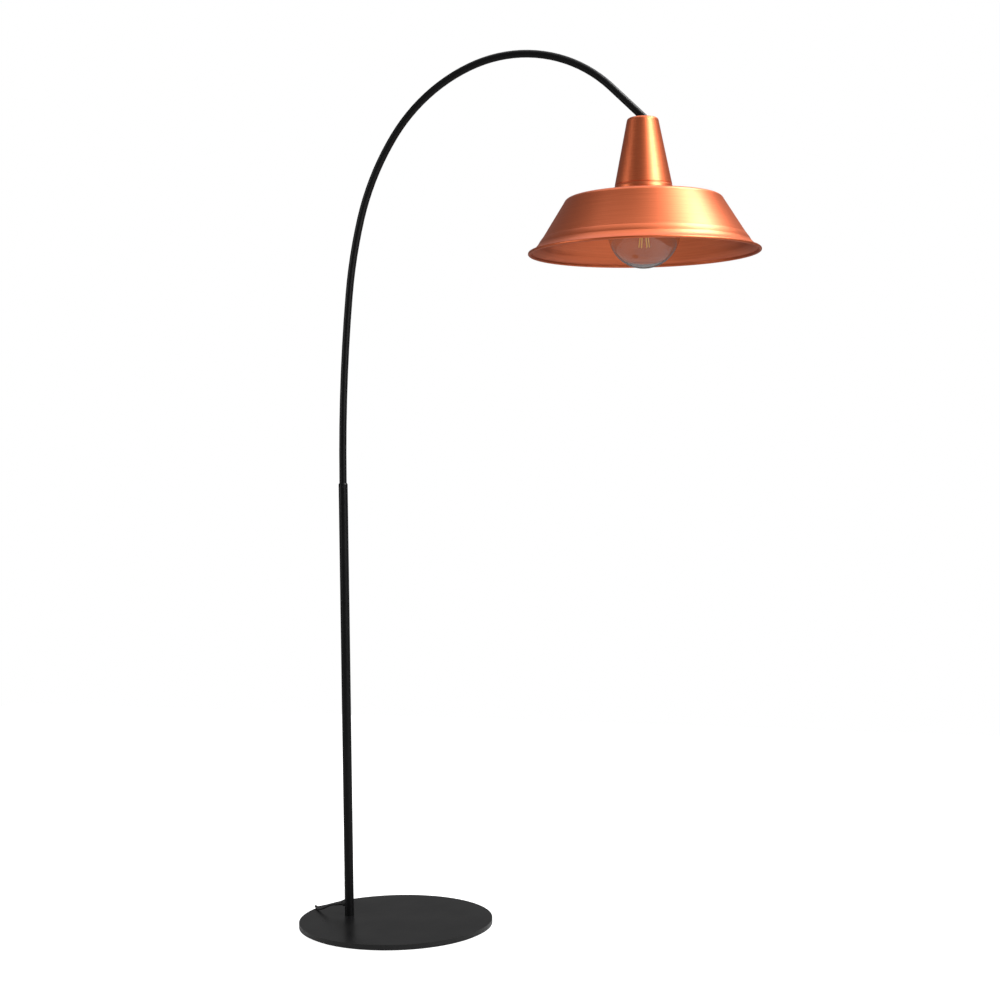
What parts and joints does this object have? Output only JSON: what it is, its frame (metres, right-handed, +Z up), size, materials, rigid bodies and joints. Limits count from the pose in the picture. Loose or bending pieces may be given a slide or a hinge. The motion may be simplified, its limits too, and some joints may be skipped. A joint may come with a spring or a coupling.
{
  "type": "arc floor lamp",
  "caption": "Tall floor lamp: round black base, black pole with a curved swivelling arm, spun copper dome shade with a clear globe bulb, and a black mains cord.",
  "frame": {"origin": "centre of the base disc on the floor", "axes": "+Z up, +X the way the arm reaches towards the shade"},
  "size_m": [1.1124, 0.6729, 1.8698],
  "materials": {
    "black_coat": "satin powder coat",
    "felt": "matt felt",
    "zinc_steel": "bright zinc plate",
    "black_steel": "black oxide",
    "nylon": "natural nylon",
    "copper": "fine brushed copper plate, satin lacquer",
    "rivet_metal": "satin",
    "black_plastic": "fine texture",
    "black_rubber": "matt",
    "cable": "smooth PVC sheath",
    "tie_fabric": "woven hook and loop",
    "porcelain": "glazed",
    "brass": "bright",
    "bulb_insulator": "glossy vitrite",
    "clear_glass": "clear",
    "filament": "yellow phosphor coat"
  },
  "bodies": {
    "stand": {"arm_set_screw": "black_steel", "base_plate": "black_coat", "bolt_washer": "zinc_steel", "cord_end": "cable", "cord_hank": "cable", "cord_lead": "cable", "cord_tail": "cable", "felt_underlay": "felt", "gland_body": "black_plastic", "gland_nut": "black_plastic", "hank_tie_1": "tie_fabric", "hank_tie_2": "tie_fabric", "lower_pole": "black_coat", "plug_body": "black_plastic", "plug_pin_1": "zinc_steel", "plug_pin_2": "zinc_steel", "pole_bolt": "zinc_steel", "pole_foot_plug": "zinc_steel", "pole_lead": "cable", "stop_collar": "black_steel", "strain_relief": "black_rubber", "switch_body": "black_plastic", "switch_lead": "cable", "thrust_washer": "nylon"},
    "arm": {"arm_tube": "black_coat", "arm_seat": "black_coat", "arm_lead": "cable", "holder_stem": "zinc_steel", "lock_washer": "zinc_steel", "neck_nut": "zinc_steel", "shade_neck": "copper", "shade_bowl": "copper", "shade_rivet_1": "rivet_metal", "shade_rivet_2": "rivet_metal", "shade_rivet_3": "rivet_metal", "holder_cap": "black_plastic", "holder_skirt": "black_plastic", "holder_insert": "porcelain", "screw_shell": "brass", "centre_contact": "brass", "bulb_cap": "brass", "bulb_tip": "bulb_insulator", "bulb_glass": "clear_glass", "bulb_mount": "clear_glass", "filament_1": "filament", "filament_2": "filament", "filament_3": "filament", "filament_4": "filament", "filament_5": "filament", "filament_6": "filament"},
    "rocker": {"switch_rocker": "black_plastic"}
  },
  "joints": [
    {"name": "arm_swivel", "type": "hinge", "parent": "stand", "child": "arm", "pos_m": [-0.11, 0, 0.9225], "axis": [0, 0, 1], "range_deg": [-170, 170]},
    {"name": "switch_rocker_tilt", "type": "hinge", "parent": "stand", "child": "rocker", "pos_m": [-0.24572, 0.31065, 0.0124], "axis": [-0.9164, -0.4003, 0], "range_deg": [0, 14]}
  ]
}
